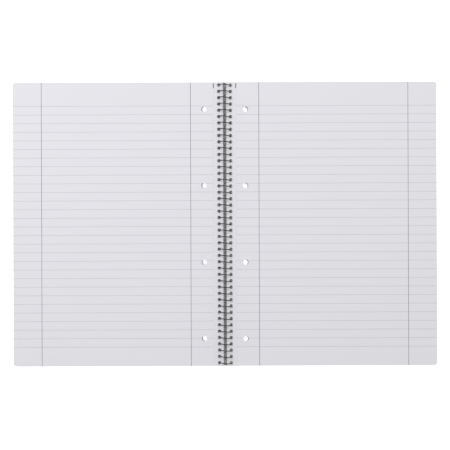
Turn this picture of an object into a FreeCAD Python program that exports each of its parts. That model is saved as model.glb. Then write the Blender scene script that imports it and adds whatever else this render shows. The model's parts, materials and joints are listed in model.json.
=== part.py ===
import FreeCAD, Part
import math
import os

# Wire-bound pad of punched A4 sheets, lying open and flat near its middle.
# Millimetres. X runs across the pages, +Y along the spine to the top of the page, +Z up.
# The origin is on the table, under the middle of the spine.

# Sheet: an A4 page and the strip that stays on the coil when the page is torn off
PAGE_WIDTH = 210.0
PAGE_HEIGHT = 297.0
STRIP_WIDTH = 10.0
CORNER_RADIUS = 3.0
SHEET_THICKNESS = 0.08
SHEET_GAP = 0.01

# Covers: thin printed card in front, grey chipboard behind
FRONT_COVER_THICKNESS = 0.40
BACK_BOARD_THICKNESS = 0.70

# Wire coil: each loop crosses above the pages almost square to the spine,
# and takes up the rest of its pitch on the way back below them
LOOPS = 45
WIRE_DIAMETER = 0.9
TRAVEL_ABOVE = 1.2
END_BEND_RADIUS = 1.2
END_TAIL_LENGTH = 2.6

# Punching
COIL_HOLE_FROM_EDGE = 4.5
COIL_HOLE_CLEARANCE = 0.5
FILING_HOLE_RADIUS = 2.75
FILING_HOLE_FROM_TEAR = 10.3
FILING_HOLE_SPACING = 80.0
FILING_HOLES = 4
TEAR_SLIT_FROM_TOP = 1.5
TEAR_SLIT_LENGTH = 5.0
TEAR_SLIT_WIDTH = 1.0

# How the pad is opened: sheets turned over to the left, and sheets still on the right.
# The uppermost leaves of each side are single pieces, and the sheets below them lie in sets.
LEFT_SHEETS = 42
RIGHT_SHEETS = 38
LOOSE_LEAVES = 6
SHEETS_PER_SET = 4
TOP_CLEARANCE = 0.10

LEFT = -1
RIGHT = 1

wire_radius = WIRE_DIAMETER / 2
sheet_width = PAGE_WIDTH + STRIP_WIDTH
sheet_step = SHEET_THICKNESS + SHEET_GAP
half_height = PAGE_HEIGHT / 2

# The loops share the page's height
loop_pitch = PAGE_HEIGHT / LOOPS
first_loop_y = loop_pitch * (LOOPS - 1) / 2
travel_below = loop_pitch - TRAVEL_ABOVE

# The coil is just large enough for the thicker side: its lowest piece must not reach the spine
left_stack = LEFT_SHEETS * sheet_step + FRONT_COVER_THICKNESS
right_stack = RIGHT_SHEETS * sheet_step + BACK_BOARD_THICKNESS
deepest = TOP_CLEARANCE + max(left_stack, right_stack)
coil_half_width = math.hypot(deepest, COIL_HOLE_FROM_EDGE)
coil_height_above = math.hypot(coil_half_width, TRAVEL_ABOVE / 2)
coil_depth_below = math.hypot(coil_half_width, travel_below / 2)
axis_height = coil_depth_below + wire_radius


def wire_share(depth, coil_height):
    """How wide the coil is at this distance from its axis, as a share of its full width."""
    return math.sqrt(1 - (depth / coil_height) ** 2)


def coil_hole_x(depth):
    """Distance from the spine to the coil holes of a sheet this far below the coil's axis.

    A turning sheet meets the wire below the axis on one side and above it on the other.
    Its holes take the middle of the two places, so deep sheets lie nearer the spine.
    """
    below = wire_share(depth, coil_depth_below)
    above = wire_share(depth, coil_height_above)
    return coil_half_width * (below + above) / 2


def wire_travel(depth):
    """Where the wire crosses a sheet, along the spine, before and after the sheet is turned over."""
    before = TRAVEL_ABOVE / 2 + travel_below / 2 * (1 - wire_share(depth, coil_depth_below))
    after = -TRAVEL_ABOVE / 2 * wire_share(depth, coil_height_above)
    return before, after


def slide_along_spine(side, depth):
    """The wire carries deep sheets along the spine, up the page on the left and down on the right."""
    return -side * sum(wire_travel(depth)) / 2


# The holes leave room for the wire's travel in a turning sheet, and for its slant through the board
before_turn, after_turn = wire_travel(deepest)
slant = BACK_BOARD_THICKNESS / 2 * deepest / COIL_HOLE_FROM_EDGE
half_travel = math.hypot((before_turn - after_turn) / 2, slant)
coil_hole_radius = half_travel + wire_radius + COIL_HOLE_CLEARANCE


def closed_outline(side, inner_x):
    """A sheet's edge: square at the spine, round corners at the outer side."""
    outer_x = inner_x + sheet_width
    r = CORNER_RADIUS
    bulge = r * math.sqrt(0.5)

    def at(x, y):
        return FreeCAD.Vector(side * x, y, 0)

    top_corner = at(outer_x - r + bulge, half_height - r + bulge)
    bottom_corner = at(outer_x - r + bulge, r - bulge - half_height)
    edges = [
        Part.LineSegment(at(inner_x, half_height), at(outer_x - r, half_height)),
        Part.Arc(at(outer_x - r, half_height), top_corner, at(outer_x, half_height - r)),
        Part.LineSegment(at(outer_x, half_height - r), at(outer_x, r - half_height)),
        Part.Arc(at(outer_x, r - half_height), bottom_corner, at(outer_x - r, -half_height)),
        Part.LineSegment(at(outer_x - r, -half_height), at(inner_x, -half_height)),
        Part.LineSegment(at(inner_x, -half_height), at(inner_x, half_height)),
    ]
    return Part.Wire([edge.toShape() for edge in edges])


def round_hole(x, y, radius):
    return Part.Wire(Part.makeCircle(radius, FreeCAD.Vector(x, y, 0)))


def tear_slit(x, top_y):
    """Short open slit where the perforated tear line begins."""
    half_width = TEAR_SLIT_WIDTH / 2
    bottom_y = top_y - TEAR_SLIT_LENGTH
    corners = [
        FreeCAD.Vector(x - half_width, top_y, 0),
        FreeCAD.Vector(x + half_width, top_y, 0),
        FreeCAD.Vector(x + half_width, bottom_y, 0),
        FreeCAD.Vector(x - half_width, bottom_y, 0),
    ]
    return Part.makePolygon(corners, True)


def punched_sheet(side, top_depth, thickness, perforated):
    """A flat sheet, card or board whose upper face is top_depth below the coil's axis."""
    middle_depth = top_depth + thickness / 2
    hole_x = coil_hole_x(middle_depth)
    inner_x = hole_x - COIL_HOLE_FROM_EDGE
    tear_x = inner_x + STRIP_WIDTH
    wires = [closed_outline(side, inner_x)]
    for loop in range(LOOPS):
        y = first_loop_y - loop * loop_pitch
        wires.append(round_hole(side * hole_x, y, coil_hole_radius))
    for hole in range(FILING_HOLES):
        y = (hole - (FILING_HOLES - 1) / 2) * FILING_HOLE_SPACING
        wires.append(round_hole(side * (tear_x + FILING_HOLE_FROM_TEAR), y, FILING_HOLE_RADIUS))
    if perforated:
        wires.append(tear_slit(side * tear_x, half_height - TEAR_SLIT_FROM_TOP))
    sheet = Part.makeFace(wires, "Part::FaceMakerBullseye").extrude(FreeCAD.Vector(0, 0, thickness))
    bottom_z = axis_height - top_depth - thickness
    sheet.translate(FreeCAD.Vector(0, slide_along_spine(side, middle_depth), bottom_z))
    return sheet


def paper(side, number):
    """Sheet of paper number 0, 1, 2 ... counted down from the page that is open on this side."""
    top_depth = TOP_CLEARANCE + number * sheet_step
    return punched_sheet(side, top_depth, SHEET_THICKNESS, True)


def bottom_cover(side, sheets, thickness):
    """The cover that lies under this many sheets."""
    return punched_sheet(side, TOP_CLEARANCE + sheets * sheet_step, thickness, False)


def half_loop(middle_y, travel, start_angle, end_angle):
    """Arc of the wire's centre line in a tilted plane through the spine.

    Angles run from 0 on the left over the top to 180 on the right, and back below to 360.
    Travel is how much further up the page the left end of the arc's plane is than its right end.
    """
    centre = FreeCAD.Vector(0, middle_y, axis_height)
    to_left = FreeCAD.Vector(-coil_half_width, travel / 2, 0)
    upwards = FreeCAD.Vector(0, 0, to_left.Length)

    def at(angle):
        turned = math.radians(angle)
        return centre + to_left * math.cos(turned) + upwards * math.sin(turned)

    return Part.Arc(at(start_angle), at((start_angle + end_angle) / 2), at(end_angle)).toShape()


def crimped_end(turn):
    """The wire's last few millimetres lie back along the spine, in the plane of the lowest point.

    Turn is 1 at the top of the page and -1 at the bottom, where the same end is half a turn round.
    """
    slope = math.atan2(travel_below, 2 * coil_half_width)
    start = FreeCAD.Vector(0, first_loop_y + loop_pitch / 2, wire_radius)
    centre = start + FreeCAD.Vector(math.sin(slope), -math.cos(slope), 0) * END_BEND_RADIUS

    def on_bend(angle):
        return centre + FreeCAD.Vector(math.cos(angle), math.sin(angle), 0) * END_BEND_RADIUS

    def placed(point):
        return FreeCAD.Vector(turn * point.x, turn * point.y, point.z)

    bend_end = on_bend(0)
    tip = bend_end - FreeCAD.Vector(0, END_TAIL_LENGTH, 0)
    bend_middle = on_bend((math.pi / 2 + slope) / 2)
    straight = Part.LineSegment(placed(tip), placed(bend_end)).toShape()
    bend = Part.Arc(placed(bend_end), placed(bend_middle), placed(start)).toShape()
    return placed(tip), [straight, bend]


def wire_coil():
    tip, path = crimped_end(1)
    path.append(half_loop(first_loop_y + loop_pitch / 2, -travel_below, 270, 360))
    for loop in range(LOOPS):
        y = first_loop_y - loop * loop_pitch
        lower_end = 360 if loop < LOOPS - 1 else 270
        path.append(half_loop(y, TRAVEL_ABOVE, 0, 180))
        path.append(half_loop(y - loop_pitch / 2, -travel_below, 180, lower_end))
    path += reversed(crimped_end(-1)[1])
    section = Part.Wire(Part.makeCircle(wire_radius, tip, FreeCAD.Vector(0, 1, 0)))
    return Part.Wire(path).makePipeShell([section], True, True)


def save(node, shape):
    shape.exportStep(f"parts/{node}.step")
    solids = len(shape.Solids)
    print(f"{node}: {solids} solid(s), valid {shape.isValid()}, {shape.Volume:.1f} mm3")


def save_side(name, side, sheets):
    """Single leaves first, then sets of sheets, numbered downwards from the open page."""
    for leaf in range(LOOSE_LEAVES):
        save(f"{name}_leaf_{leaf + 1:02d}", paper(side, leaf))
    for number, first in enumerate(range(LOOSE_LEAVES, sheets, SHEETS_PER_SET)):
        last = min(first + SHEETS_PER_SET, sheets)
        one_set = Part.makeCompound([paper(side, sheet) for sheet in range(first, last)])
        save(f"{name}_sheets_{number + 1}", one_set)


os.makedirs("parts", exist_ok=True)
save("wire_coil", wire_coil())
save("front_cover", bottom_cover(LEFT, LEFT_SHEETS, FRONT_COVER_THICKNESS))
save("back_board", bottom_cover(RIGHT, RIGHT_SHEETS, BACK_BOARD_THICKNESS))
save_side("left", LEFT, LEFT_SHEETS)
save_side("right", RIGHT, RIGHT_SHEETS)
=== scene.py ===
import json
import math

import bpy
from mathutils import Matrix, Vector


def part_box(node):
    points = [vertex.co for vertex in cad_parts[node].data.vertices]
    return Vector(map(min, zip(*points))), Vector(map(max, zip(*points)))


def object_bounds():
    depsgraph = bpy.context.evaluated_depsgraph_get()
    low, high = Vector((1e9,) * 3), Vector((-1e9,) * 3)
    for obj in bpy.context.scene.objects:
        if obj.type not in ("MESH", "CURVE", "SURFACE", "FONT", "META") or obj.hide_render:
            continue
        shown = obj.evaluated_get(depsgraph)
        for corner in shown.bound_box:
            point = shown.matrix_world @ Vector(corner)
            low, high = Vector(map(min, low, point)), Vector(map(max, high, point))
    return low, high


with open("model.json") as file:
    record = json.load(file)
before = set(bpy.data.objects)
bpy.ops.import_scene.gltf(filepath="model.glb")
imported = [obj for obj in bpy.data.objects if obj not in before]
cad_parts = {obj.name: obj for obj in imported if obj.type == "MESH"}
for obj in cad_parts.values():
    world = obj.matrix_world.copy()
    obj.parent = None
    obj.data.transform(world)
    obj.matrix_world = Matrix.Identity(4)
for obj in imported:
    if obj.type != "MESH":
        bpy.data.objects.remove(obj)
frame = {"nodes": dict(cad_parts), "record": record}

cad_low, cad_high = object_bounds()

# ---------------------------------------------------------------------------
# Sizes, in metres. What the frame can tell is worked out from it.
# ---------------------------------------------------------------------------
MM = 0.001
WIRE_RADIUS = 0.45 * MM
WIRE_TRAVEL_ABOVE = 1.2 * MM
LOOPS = 45
HOLE_FROM_EDGE = 4.5 * MM
STRIP_WIDTH = 10.0 * MM

# Printing on the paper
FIRST_LINE = 25.0 * MM
LINE_SPACING = 9.0 * MM
LINES = 29
LINE_WIDTH = 0.30 * MM
INNER_MARGIN = 34.0 * MM
OUTER_MARGIN = 30.0 * MM
MARGIN_WIDTH = 0.48 * MM
PERFORATION_STEP = 1.6 * MM
PERFORATION_CUT = 0.9 * MM
PERFORATION_WIDTH = 0.22 * MM
INK_BLUR = 0.12 * MM

# The sheet's own shape
EDGE_RIM = 0.12 * MM
DIP_WIDTH = 26.0 * MM
WAVE_DEPTH = 1.0 * MM

# Depths of the fine relief of each finish
PAPER_RELIEF = 0.05 * MM
PERFORATION_DEPTH = 0.08 * MM
BOARD_RELIEF = 0.12 * MM
CARD_RELIEF = 0.04 * MM
WIRE_RELIEF = 0.02 * MM

page_low, page_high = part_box("right_leaf_01")
axis_height = frame["record"]["behaviour"]["joints"][0]["pos_m"][2]
page_width = page_high[0] - page_low[0]
page_height = page_high[1] - page_low[1]
half_page = page_height / 2
loop_pitch = page_height / LOOPS
coil_depth_below = axis_height - WIRE_RADIUS
wire_travel_below = loop_pitch - WIRE_TRAVEL_ABOVE
coil_half_width = math.sqrt(coil_depth_below**2 - (wire_travel_below / 2) ** 2)
coil_height_above = math.hypot(coil_half_width, WIRE_TRAVEL_ABOVE / 2)


# ---------------------------------------------------------------------------
# Shader building: a socket that takes part in Python expressions
# ---------------------------------------------------------------------------
class Value:
    """A shader socket. Arithmetic on it adds Math nodes to its material."""

    def __init__(self, finish, socket):
        self.finish = finish
        self.socket = socket

    def math(self, operation, *others, clamp=False):
        settings = {"operation": operation, "use_clamp": clamp}
        inputs = dict(enumerate((self, *others)))
        return self.finish.node("ShaderNodeMath", settings, inputs)

    def __add__(self, other):
        return self.math("ADD", other)

    __radd__ = __add__

    def __sub__(self, other):
        return self.math("SUBTRACT", other)

    def __rsub__(self, other):
        return (self * -1) + other

    def __mul__(self, other):
        return self.math("MULTIPLY", other)

    __rmul__ = __mul__

    def __truediv__(self, other):
        return self.math("DIVIDE", other)

    def __lt__(self, other):
        return self.math("LESS_THAN", other)

    def __gt__(self, other):
        return self.math("GREATER_THAN", other)

    def __abs__(self):
        return self.math("ABSOLUTE")

    def __pow__(self, power):
        return self.math("POWER", power)

    def root(self):
        return self.math("SQRT")

    def sign(self):
        return self.math("SIGN")

    def either(self, other):
        return self.math("MAXIMUM", other)

    def clamped(self):
        return self.math("ADD", 0.0, clamp=True)

    def to_nearest_multiple(self, step):
        """Distance from the nearest multiple of step."""
        return self.math("PINGPONG", step / 2)

    def stripe(self, width, blur):
        """1 where this distance is under half of width, with soft sides."""
        return ((width / 2 + blur / 2 - self) / blur).clamped()


class Finish:
    """A material with a Principled shader."""

    def __init__(self, name, **constants):
        self.material = bpy.data.materials.new(name)
        self.material.use_nodes = True
        self.tree = self.material.node_tree
        self.tree.nodes.clear()
        self.shader = self.tree.nodes.new("ShaderNodeBsdfPrincipled")
        for socket, value in constants.items():
            self.shader.inputs[socket.replace("_", " ")].default_value = value
        output = self.tree.nodes.new("ShaderNodeOutputMaterial")
        self.tree.links.new(self.shader.outputs[0], output.inputs["Surface"])

    def node(self, kind, settings=None, inputs=None, output=0):
        """Adds a node, sets it up and feeds it, and returns one of its outputs."""
        made = self.tree.nodes.new(kind)
        for name, value in (settings or {}).items():
            setattr(made, name, value)
        for socket, value in (inputs or {}).items():
            self.feed(made.inputs[socket], value)
        return Value(self, made.outputs[output])

    def feed(self, socket, value):
        if isinstance(value, Value):
            self.tree.links.new(value.socket, socket)
        else:
            socket.default_value = value

    def place(self):
        """The object's own coordinates, which move with its body."""
        return self.node("ShaderNodeTexCoord", output="Object")

    def faces_flat(self):
        """1 on a sheet's two broad faces and 0 on its cut edges, however the sheet is turned."""
        _, _, upward = self.split(self.node("ShaderNodeTexCoord", output="Normal"))
        return abs(upward) > 0.5

    def split(self, vector):
        parts = self.node("ShaderNodeSeparateXYZ", inputs={0: vector})
        outputs = parts.socket.node.outputs
        return [Value(self, outputs[axis]) for axis in range(3)]

    def stretched(self, vector, scale):
        return self.node("ShaderNodeVectorMath", {"operation": "MULTIPLY"}, {0: vector, 1: scale})

    def noise(self, vector, scale, detail, roughness=0.5):
        inputs = {"Vector": vector, "Scale": scale, "Detail": detail, "Roughness": roughness}
        return self.node("ShaderNodeTexNoise", inputs=inputs)

    def mixed(self, share, first, second):
        """Colour first where share is 0, and second where it is 1."""
        return self.node(
            "ShaderNodeMix",
            {"data_type": "RGBA"},
            {"Factor": share, 6: first, 7: second},
            output=2,
        )

    def bump(self, height, strength, distance, normal=None):
        inputs = {"Height": height, "Strength": strength, "Distance": distance}
        if normal is not None:
            inputs["Normal"] = normal
        return self.node("ShaderNodeBump", inputs=inputs)

    def drive(self, **sockets):
        for socket, value in sockets.items():
            self.feed(self.shader.inputs[socket.replace("_", " ")], value)


def colour(red, green, blue):
    return (red, green, blue, 1.0)


# ---------------------------------------------------------------------------
# Where a point lies on its sheet
# ---------------------------------------------------------------------------
def across_and_down(finish):
    """Distance from the sheet's bound edge, and distance down from its top edge.

    Each sheet lies at its own depth on the coil, which moves it towards the spine and along it.
    """
    x, y, z = finish.split(finish.place())
    depth = axis_height - z
    below = (1 - (depth / coil_depth_below) ** 2).root()
    above = (1 - (depth / coil_height_above) ** 2).root()
    edge = (below + above) * (coil_half_width / 2) - HOLE_FROM_EDGE
    before_turn = (1 - below) * (wire_travel_below / 2) + WIRE_TRAVEL_ABOVE / 2
    after_turn = above * (-WIRE_TRAVEL_ABOVE / 2)
    slide = (before_turn + after_turn) * x.sign() * -0.5
    return abs(x) - edge, half_page - (y - slide), z


# ---------------------------------------------------------------------------
# Materials. A scale is a noise pattern's features per metre.
# ---------------------------------------------------------------------------
PAPER_WHITE = colour(0.757, 0.750, 0.787)
PAPER_SHADE = colour(0.727, 0.720, 0.762)
LINE_GREY = colour(0.42, 0.43, 0.48)
MARGIN_GREY = colour(0.15, 0.155, 0.19)
SPINE_EDGE_SHADE = colour(0.44, 0.42, 0.42)
STACK_GREY = colour(0.40, 0.40, 0.41)
CUT_SLIT_SHADE = colour(0.36, 0.36, 0.38)
CLOUD_SCALE = 28.0
FORMATION_SCALE = 420.0
PAPER_FIBRE_SCALE = 2600.0
WAVE_SCALE = 9.0


def ruled_paper():
    """Uncoated writing paper, ruled with margins and perforated along the tear line."""
    finish = Finish("ruled_paper", Specular_IOR_Level=0.25)
    place = finish.place()
    across, down, _ = across_and_down(finish)

    # Clouding and fibres of uncoated writing paper
    clouds = finish.noise(place, CLOUD_SCALE, 3.0)
    formation = finish.noise(place, FORMATION_SCALE, 4.0, 0.6)
    down_grain = finish.stretched(place, (1.0, 0.35, 1.0))
    fibres = finish.noise(down_grain, PAPER_FIBRE_SCALE, 3.0, 0.65)
    tone = (clouds * 0.45 + formation * 0.55).clamped()
    paper = finish.mixed(tone, PAPER_WHITE, PAPER_SHADE)
    flat = finish.faces_flat()

    # Ruled lines run from the tear line to the outer edge
    past_tear = across > STRIP_WIDTH
    first_to_last = (down > FIRST_LINE - LINE_SPACING / 2) * (
        down < FIRST_LINE + (LINES - 0.5) * LINE_SPACING
    )
    from_line = (down - FIRST_LINE + LINE_SPACING * 4).to_nearest_multiple(LINE_SPACING)
    ink_spread = (formation * 0.5 + 0.72).clamped()
    lines = from_line.stripe(LINE_WIDTH, INK_BLUR) * first_to_last * past_tear * ink_spread
    ruled = finish.mixed(lines * flat, paper, LINE_GREY)

    # Margin lines run the whole height of the page
    inner = abs(across - INNER_MARGIN).stripe(MARGIN_WIDTH, INK_BLUR)
    outer = abs(across - (page_width - OUTER_MARGIN)).stripe(MARGIN_WIDTH, INK_BLUR)
    margins = inner.either(outer) * ink_spread * flat
    printed = finish.mixed(margins, ruled, MARGIN_GREY)

    # The perforated tear line: a row of short cuts, each painted grey as the shade inside its slit
    in_cut = down.to_nearest_multiple(PERFORATION_STEP).stripe(PERFORATION_CUT, INK_BLUR)
    cuts = abs(across - STRIP_WIDTH).stripe(PERFORATION_WIDTH, INK_BLUR) * in_cut
    cut = finish.mixed(cuts * 0.55, printed, CUT_SLIT_SHADE)

    # Cut edges look a little darker, and the punched edge along the coil is painted grey: painted
    # shade, as it lies in the coil's shade
    stacked = finish.mixed((1 - flat) * (fibres * 0.5 + 0.1), cut, STACK_GREY)
    shaded_edge = finish.mixed(across < EDGE_RIM, stacked, SPINE_EDGE_SHADE)

    # Slight waves of a used leaf, which also dips towards the coil
    waves = finish.noise(finish.stretched(place, (1.0, 0.6, 1.0)), WAVE_SCALE, 1.0)
    dip = (across / DIP_WIDTH).clamped() ** 0.5
    waved = finish.bump(waves * 4.0 + dip, 0.35, WAVE_DEPTH)
    grain = finish.bump(fibres * 0.6 + formation * 0.4, 0.22, PAPER_RELIEF, waved)
    pressed = finish.bump(cuts * -1.0, 0.5, PERFORATION_DEPTH, grain)
    finish.drive(
        Base_Color=shaded_edge,
        Roughness=formation * 0.16 + 0.78 - lines * 0.08,
        Normal=pressed,
    )
    return finish.material


BOARD_DARK = colour(0.30, 0.30, 0.27)
BOARD_LIGHT = colour(0.44, 0.44, 0.405)
DARK_FLECK = colour(0.13, 0.125, 0.11)
LIGHT_FLECK = colour(0.62, 0.61, 0.56)
PULP_SCALE = 160.0
BOARD_FIBRE_SCALE = 1500.0
DARK_FLECK_SCALE = 900.0
LIGHT_FLECK_SCALE = 640.0


def chipboard():
    """Grey board pressed from waste paper, with dark and light flecks."""
    finish = Finish("chipboard", Specular_IOR_Level=0.2)
    place = finish.place()
    pulp = finish.noise(place, PULP_SCALE, 5.0, 0.65)
    across_grain = finish.stretched(place, (0.25, 1.0, 1.0))
    fibres = finish.noise(across_grain, BOARD_FIBRE_SCALE, 4.0, 0.7)
    dark_spots = finish.noise(place, DARK_FLECK_SCALE, 2.0, 0.4)
    dark_flecks = (dark_spots - 0.63).math("MULTIPLY", 14.0, clamp=True)
    light_spots = finish.noise(place, LIGHT_FLECK_SCALE, 2.0, 0.4)
    light_flecks = (light_spots - 0.66).math("MULTIPLY", 12.0, clamp=True)
    board = finish.mixed((pulp * 0.7 + fibres * 0.3).clamped(), BOARD_DARK, BOARD_LIGHT)
    dark = finish.mixed(dark_flecks * 0.55, board, DARK_FLECK)
    speckled = finish.mixed(light_flecks * 0.5, dark, LIGHT_FLECK)
    relief = finish.bump(pulp * 0.5 + fibres * 0.5, 0.45, BOARD_RELIEF)
    finish.drive(Base_Color=speckled, Roughness=fibres * 0.2 + 0.78, Normal=relief)
    return finish.material


LABEL_WIDTH = 104.0 * MM
LABEL_HEIGHT = 42.0 * MM
LABEL_FROM_TOP = 74.0 * MM
LABEL_RULE_SPACING = 11.0 * MM
LABEL_RULE_WIDTH = 0.35 * MM
LABEL_RULE_INSET = 7.0 * MM
LABEL_RULE_ROOM = 2.0 * MM
STRIPE_SPACING = 16.0 * MM
STRIPE_WIDTH = 5.0 * MM
STRIPES_BEGIN = 0.55
BAND_WIDTH = 3.0 * MM
PRINT_BLUR = 0.25 * MM
WORN_WIDTH = 2.2 * MM
DEEP_BLUE = colour(0.030, 0.085, 0.190)
DEEP_BLUE_MOTTLED = colour(0.040, 0.105, 0.225)
STRIPE_BLUE = colour(0.20, 0.36, 0.50)
BAND_WHITE = colour(0.62, 0.64, 0.62)
LABEL_WHITE = colour(0.74, 0.74, 0.72)
LABEL_RULE_GREY = colour(0.16, 0.18, 0.22)
CARD_SHADE = colour(0.73, 0.73, 0.72)
CARD_WHITE = colour(0.77, 0.77, 0.76)
CARD_WORN = colour(0.70, 0.70, 0.68)
MOTTLE_SCALE = 35.0
CARD_FIBRE_SCALE = 1400.0
WEAR_SCALE = 300.0


def cover_card():
    """Printed, lightly coated card: plain inside, a striped cover with a writing label outside."""
    finish = Finish("cover_card", Specular_IOR_Level=0.5, Coat_Roughness=0.28)
    place = finish.place()
    across, down, z = across_and_down(finish)
    cover_low, cover_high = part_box("front_cover")
    outside = z < (cover_low[2] + cover_high[2]) / 2
    stripes_top = page_height * STRIPES_BEGIN

    mottle = finish.noise(place, MOTTLE_SCALE, 3.0)
    fibres = finish.noise(place, CARD_FIBRE_SCALE, 4.0, 0.6)
    deep = finish.mixed(mottle, DEEP_BLUE, DEEP_BLUE_MOTTLED)
    # Diagonal stripes fill the lower part of the cover, below a pale band
    diagonal = (across + down) * math.sqrt(0.5)
    stripes = diagonal.to_nearest_multiple(STRIPE_SPACING).stripe(STRIPE_WIDTH, PRINT_BLUR)
    striped = finish.mixed(stripes * (down > stripes_top), deep, STRIPE_BLUE)
    band = abs(down - stripes_top).stripe(BAND_WIDTH, PRINT_BLUR)
    banded = finish.mixed(band, striped, BAND_WHITE)

    # White label with three writing rules
    from_middle = abs(across - page_width / 2)
    from_label = abs(down - LABEL_FROM_TOP)
    label_across = from_middle.stripe(LABEL_WIDTH, PRINT_BLUR)
    label = label_across * from_label.stripe(LABEL_HEIGHT, PRINT_BLUR)
    from_rule = (down - LABEL_FROM_TOP).to_nearest_multiple(LABEL_RULE_SPACING)
    rules_across = from_middle.stripe(LABEL_WIDTH - 2 * LABEL_RULE_INSET, PRINT_BLUR)
    rules_down = from_label.stripe(2 * LABEL_RULE_SPACING + LABEL_RULE_ROOM, PRINT_BLUR)
    rules = from_rule.stripe(LABEL_RULE_WIDTH, PRINT_BLUR) * (rules_across * rules_down)
    labelled = finish.mixed(label, banded, LABEL_WHITE)
    written = finish.mixed(rules, labelled, LABEL_RULE_GREY)

    inside = finish.mixed(fibres, CARD_SHADE, CARD_WHITE)
    card = finish.mixed(outside, inside, written)
    # Rubbed pale where it is handled: at the outer edge
    at_edge = ((across - (page_width - WORN_WIDTH)) / WORN_WIDTH).clamped()
    rubbed = (at_edge * finish.noise(place, WEAR_SCALE, 3.0, 0.6)).clamped() * 0.6
    worn = finish.mixed(rubbed, card, CARD_WORN)
    relief = finish.bump(fibres, 0.18, CARD_RELIEF)
    finish.drive(
        Base_Color=worn,
        Roughness=fibres * 0.1 + 0.42 + rubbed * 0.3,
        Coat_Weight=outside * 0.35,
        Normal=relief,
    )
    return finish.material


WIRE_DARK = colour(0.012, 0.012, 0.014)
WIRE_LIGHT = colour(0.034, 0.033, 0.037)
WIRE_RUBBED = colour(0.12, 0.115, 0.12)
RUB_SCALE = 700.0
DRAWN_SCALE = 2400.0


def dark_wire():
    """Steel wire with a thin dark coating, rubbed a little where leaves slide on it."""
    finish = Finish("dark_wire", Metallic=0.35, Specular_IOR_Level=0.3, Coat_Roughness=0.2)
    place = finish.place()
    along = finish.noise(finish.stretched(place, (1.0, 0.5, 1.0)), RUB_SCALE, 3.0, 0.6)
    drawn = finish.noise(finish.stretched(place, (3.0, 0.4, 3.0)), DRAWN_SCALE, 3.0, 0.7)
    rubbed = (along - 0.56).math("MULTIPLY", 5.0, clamp=True)
    coat = finish.mixed(drawn, WIRE_DARK, WIRE_LIGHT)
    worn = finish.mixed(rubbed * 0.3, coat, WIRE_RUBBED)
    finish.drive(
        Base_Color=worn,
        Roughness=drawn * 0.22 + 0.24,
        Coat_Weight=0.15 - rubbed * 0.1,
        Normal=finish.bump(drawn, 0.3, WIRE_RELIEF),
    )
    return finish.material


def dress(nodes, material):
    """Gives CAD nodes their finished material."""
    for node in nodes:
        piece = bpy.data.objects[node]
        if not piece.material_slots:
            piece.data.materials.append(material)
        for slot in piece.material_slots:
            slot.material = material


def dress_pad():
    sheets = [name for name in frame["nodes"] if name.startswith(("left_", "right_"))]
    dress(sheets, ruled_paper())
    dress(["back_board"], chipboard())
    dress(["front_cover"], cover_card())
    dress(["wire_coil"], dark_wire())


# ---------------------------------------------------------------------------
# Table, light and camera
# ---------------------------------------------------------------------------
FLOOR_HALF = 12.0
FLOOR_BELOW_PAD = 0.2 * MM
FLOOR_SHADE = colour(0.93, 0.93, 0.93)
FLOOR_WHITE = colour(0.95, 0.95, 0.95)
FLOOR_PAINTED_SHADE = colour(0.07, 0.07, 0.07)
FLOOR_GRAIN_SCALE = 40.0
SHADE_WIDTH = 24.0 * MM
SHADE_BLUR = 8.0 * MM
SHADE_END_BLUR = 2.0 * MM
WINDOW_PLACE = (-0.60, 0.38, 0.95)
WINDOW_SIZE = 0.5
WINDOW_POWER = 5.1
FILL_PLACE = (0.55, 0.34, 1.00)
FILL_SIZE = 0.8
FILL_POWER = 3.5
ROOM_LIGHT = 0.55
CAMERA_HEIGHT = 1.0
VIEW_WIDTH = 0.4706
SENSOR = 36.0
CAMERA_ROLL = math.radians(-0.2)
CAMERA_DOWN_PAGE = 1.1 * MM


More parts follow.
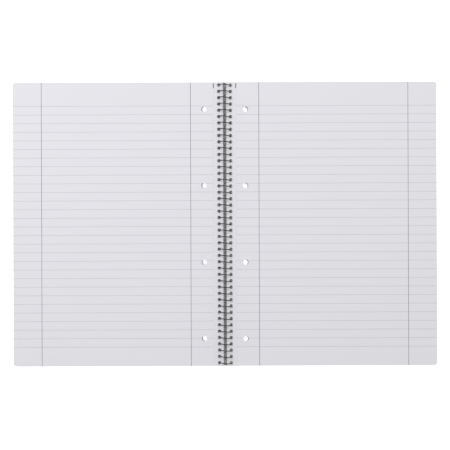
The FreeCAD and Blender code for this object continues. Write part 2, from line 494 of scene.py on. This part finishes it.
def table_top():
    # The table is given a painted glow, like a lamp, so it reads white even in shade and lights
    # the pad from below
    finish = Finish("glowing_table_white", Roughness=0.7, Specular_IOR_Level=0.1, Emission_Strength=0.9)
    place = finish.place()
    grain = finish.noise(place, FLOOR_GRAIN_SCALE, 3.0)
    white = finish.mixed(grain, FLOOR_SHADE, FLOOR_WHITE)
    # The table's glow is cut to a dark patch of painted shade under the coil
    x, y, _ = finish.split(place)
    shade = abs(x).stripe(SHADE_WIDTH, SHADE_BLUR) * abs(y).stripe(page_height, SHADE_END_BLUR)
    glow = finish.mixed(shade, white, FLOOR_PAINTED_SHADE)
    finish.drive(Base_Color=white, Emission_Color=glow)
    half = FLOOR_HALF
    corners = [(-half, -half, 0), (half, -half, 0), (half, half, 0), (-half, half, 0)]
    floor = bpy.data.meshes.new("table_top")
    floor.from_pydata(corners, [], [(0, 1, 2, 3)])
    floor.materials.append(finish.material)
    top = bpy.data.objects.new("table_top", floor)
    top.location.z = cad_low[2] - FLOOR_BELOW_PAD
    bpy.context.scene.collection.objects.link(top)


def area_light(name, place, size, power):
    lamp = bpy.data.lights.new(name, "AREA")
    lamp.size = size
    lamp.energy = power
    holder = bpy.data.objects.new(name, lamp)
    holder.location = place
    holder.rotation_euler = (-Vector(place)).to_track_quat("-Z", "Y").to_euler()
    bpy.context.scene.collection.objects.link(holder)


def light_studio():
    area_light("window_light", WINDOW_PLACE, WINDOW_SIZE, WINDOW_POWER)
    area_light("fill_light", FILL_PLACE, FILL_SIZE, FILL_POWER)
    world = bpy.data.worlds.new("studio")
    world.use_nodes = True
    background = world.node_tree.nodes["Background"]
    background.inputs["Color"].default_value = colour(1.0, 1.0, 1.0)
    background.inputs["Strength"].default_value = ROOM_LIGHT
    bpy.context.scene.world = world
    bpy.context.scene.view_settings.view_transform = "Standard"


def overhead_camera():
    lens = bpy.data.cameras.new("overhead")
    lens.sensor_width = SENSOR
    lens.lens = SENSOR * CAMERA_HEIGHT / VIEW_WIDTH
    camera = bpy.data.objects.new("overhead", lens)
    camera.location = (0.0, -CAMERA_DOWN_PAGE, page_high[2] + CAMERA_HEIGHT)
    camera.rotation_euler = (0.0, 0.0, CAMERA_ROLL)
    bpy.context.scene.collection.objects.link(camera)
    bpy.context.scene.camera = camera


dress_pad()
table_top()
light_studio()
overhead_camera()
